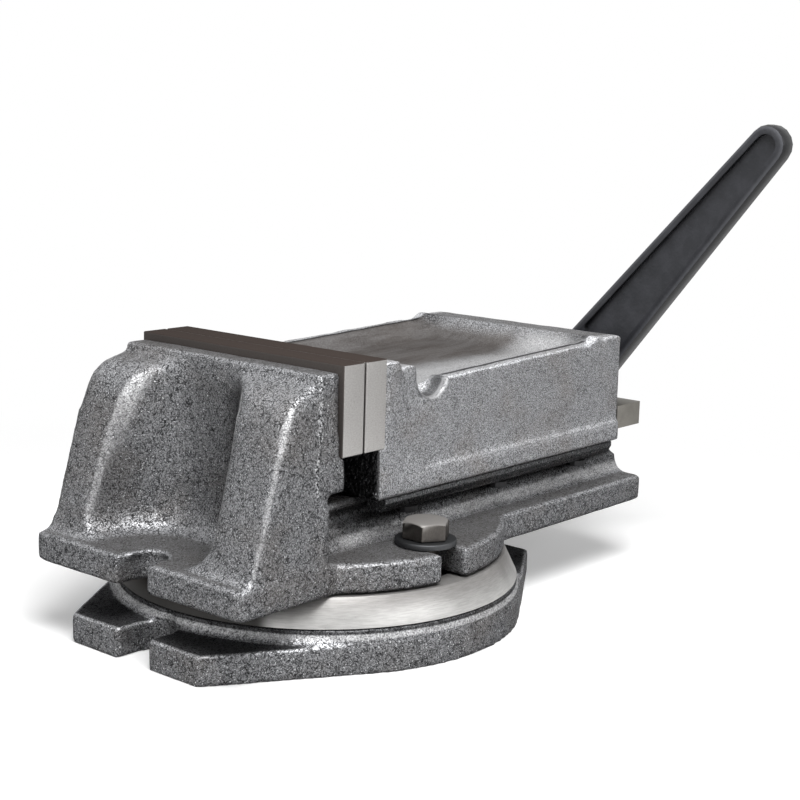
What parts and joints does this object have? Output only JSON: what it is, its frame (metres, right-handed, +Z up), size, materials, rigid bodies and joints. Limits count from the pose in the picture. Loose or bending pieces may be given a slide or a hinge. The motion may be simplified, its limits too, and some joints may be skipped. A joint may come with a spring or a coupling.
{
  "type": "machine vise",
  "caption": "Low machine vise on a swivel base with a slotted foot, steel jaw plates, a sliding jaw driven by a lead screw and a pull-off crank handle.",
  "frame": {"origin": "on the swivel axis, at the underside of the swivel base", "axes": "+X along the lead screw from the fixed jaw to the crank handle, +Y across the jaws, +Z up"},
  "size_m": [0.323, 0.2263, 0.2309],
  "materials": {
    "hammertone_casting": "grey hammertone enamel on cast iron, semi-gloss",
    "ground_steel": "ground, lightly oiled",
    "oiled_steel": "dark oxide with oil",
    "nut_bronze": "machined bronze",
    "black_enamel": "satin black enamel"
  },
  "bodies": {
    "base": {"swivel_base": "hammertone_casting", "pivot_pin": "oiled_steel"},
    "body": {"vise_body": "hammertone_casting", "fixed_jaw_plate": "ground_steel", "near_fixed_plate_screw": "oiled_steel", "far_fixed_plate_screw": "oiled_steel", "lead_nut": "nut_bronze", "front_nut_screw": "oiled_steel", "rear_nut_screw": "oiled_steel", "near_clamp_washer": "oiled_steel", "far_clamp_washer": "oiled_steel", "near_clamp_nut": "oiled_steel", "far_clamp_nut": "oiled_steel"},
    "near_bolt": {"near_clamp_bolt": "oiled_steel"},
    "far_bolt": {"far_clamp_bolt": "oiled_steel"},
    "jaw": {"movable_jaw": "hammertone_casting", "movable_jaw_plate": "ground_steel", "near_movable_plate_screw": "oiled_steel", "far_movable_plate_screw": "oiled_steel", "near_keeper": "oiled_steel", "far_keeper": "oiled_steel", "near_keeper_screw_1": "oiled_steel", "near_keeper_screw_2": "oiled_steel", "near_keeper_screw_3": "oiled_steel", "far_keeper_screw_1": "oiled_steel", "far_keeper_screw_2": "oiled_steel", "far_keeper_screw_3": "oiled_steel", "bearing_plate": "ground_steel", "near_bearing_screw": "oiled_steel", "far_bearing_screw": "oiled_steel"},
    "screw": {"lead_screw": "ground_steel", "thrust_washer": "nut_bronze", "retaining_ring": "oiled_steel"},
    "handle": {"crank_handle": "black_enamel"}
  },
  "joints": [
    {"name": "base_swivel", "type": "hinge", "parent": "base", "child": "body", "pos_m": [0, 0, 0.0323], "axis": [0, 0, 1], "continuous": true},
    {"name": "near_bolt_turn", "type": "hinge", "parent": "body", "child": "near_bolt", "pos_m": [-0.0065, -0.07, 0.0491], "axis": [0, 0, 1], "range_deg": [0, 180]},
    {"name": "far_bolt_turn", "type": "hinge", "parent": "body", "child": "far_bolt", "pos_m": [-0.0065, 0.07, 0.0491], "axis": [0, 0, 1], "range_deg": [0, 180]},
    {"name": "jaw_slide", "type": "slide", "parent": "body", "child": "jaw", "axis": [1, 0, 0], "range_m": [0, 0.1001]},
    {"name": "screw_turn", "type": "hinge", "parent": "jaw", "child": "screw", "pos_m": [0.1875, 0, 0.0786], "axis": [1, 0, 0], "range_deg": [0, 7200]},
    {"name": "handle_pull", "type": "slide", "parent": "screw", "child": "handle", "axis": [1, 0, 0], "range_m": [0, 0.021]}
  ],
  "couplings": [
    {"joint": "jaw_slide", "follows": "screw_turn", "m_per_rad": 0.00079577}
  ]
}
